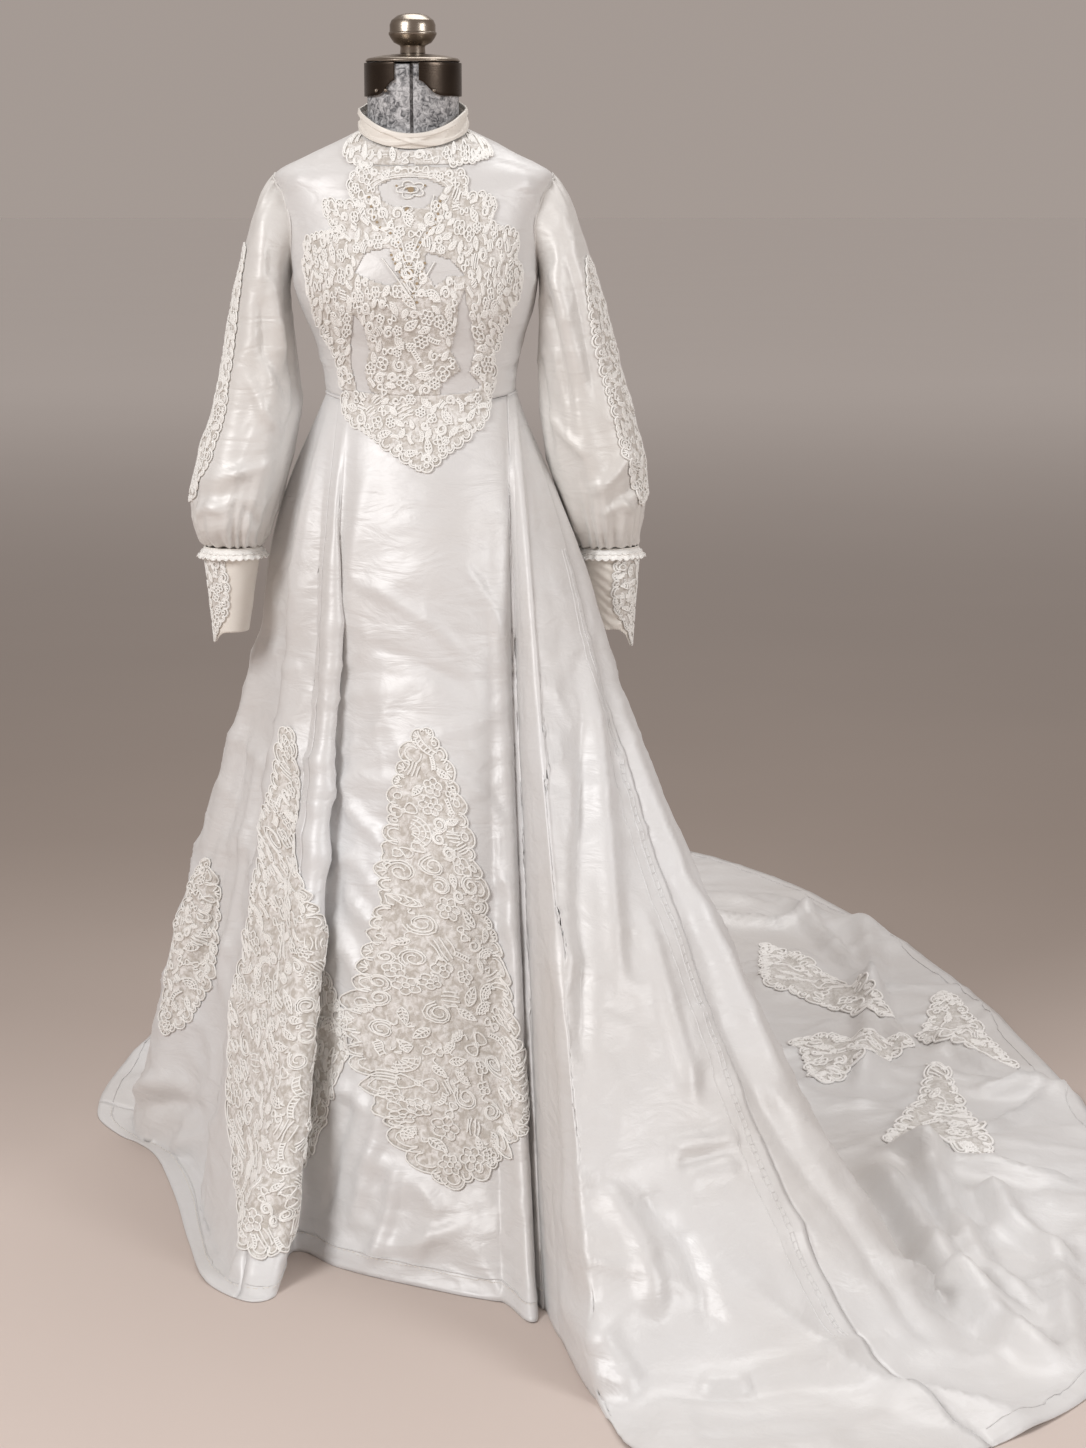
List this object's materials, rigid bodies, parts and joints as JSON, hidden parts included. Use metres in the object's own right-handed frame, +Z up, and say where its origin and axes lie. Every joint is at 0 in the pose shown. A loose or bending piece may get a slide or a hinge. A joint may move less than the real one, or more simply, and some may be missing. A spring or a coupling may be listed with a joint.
{
  "type": "wedding dress on dress form",
  "caption": "Long-sleeved satin and lace wedding dress with a stand collar, cuffed full sleeves and a long train, standing on a neck-capped dress form.",
  "frame": {"origin": "on the floor under the axis of the dress form, at the middle of the underside of its round foot", "axes": "+Z up, the front of the dress looks along -Y, +X towards the viewer's right, where the train sweeps; the train runs back along +Y"},
  "size_m": [1.5157, 3.0093, 1.6054],
  "materials": {
    "ivory_satin": "smooth duchess satin with a soft sheen",
    "cream_satin": "satin, creamier than the skirt",
    "cream_lace": "corded lace, matt",
    "covered_button": "satin-covered",
    "grey_felt": "mottled grey felt-covered shell",
    "aged_nickel": "aged bronze-grey brushed metal",
    "painted_iron": "black enamel"
  },
  "bodies": {
    "root": {"bodice_front": "ivory_satin", "bodice_back": "ivory_satin", "back_placket": "ivory_satin", "sleeve_left": "ivory_satin", "sleeve_right": "ivory_satin", "skirt_front": "ivory_satin", "skirt_side_left": "ivory_satin", "skirt_back": "ivory_satin", "train_main": "ivory_satin", "train_front_panel": "ivory_satin", "train_edge_band": "ivory_satin", "collar_band": "cream_satin", "cuff_left": "cream_satin", "cuff_right": "cream_satin", "bodice_lace": "cream_lace", "yoke_lace": "cream_lace", "waist_lace": "cream_lace", "skirt_lace_centre": "cream_lace", "skirt_lace_left": "cream_lace", "skirt_lace_side": "cream_lace", "train_lace_1": "cream_lace", "train_lace_2": "cream_lace", "train_lace_3": "cream_lace", "train_lace_4": "cream_lace", "sleeve_lace_left": "cream_lace", "sleeve_lace_right": "cream_lace", "cuff_lace_left": "cream_lace", "cuff_lace_right": "cream_lace", "cuff_frill_left": "cream_lace", "cuff_frill_right": "cream_lace", "back_button_1": "covered_button", "back_button_2": "covered_button", "back_button_3": "covered_button", "form_torso": "grey_felt", "cap_plate_left": "aged_nickel", "cap_plate_left_rivet_1": "aged_nickel", "cap_plate_left_rivet_2": "aged_nickel", "cap_plate_right": "aged_nickel", "cap_plate_right_rivet_1": "aged_nickel", "cap_dome": "aged_nickel", "finial": "aged_nickel", "stand_pole": "painted_iron", "stand_base": "painted_iron"}
  },
  "joints": []
}
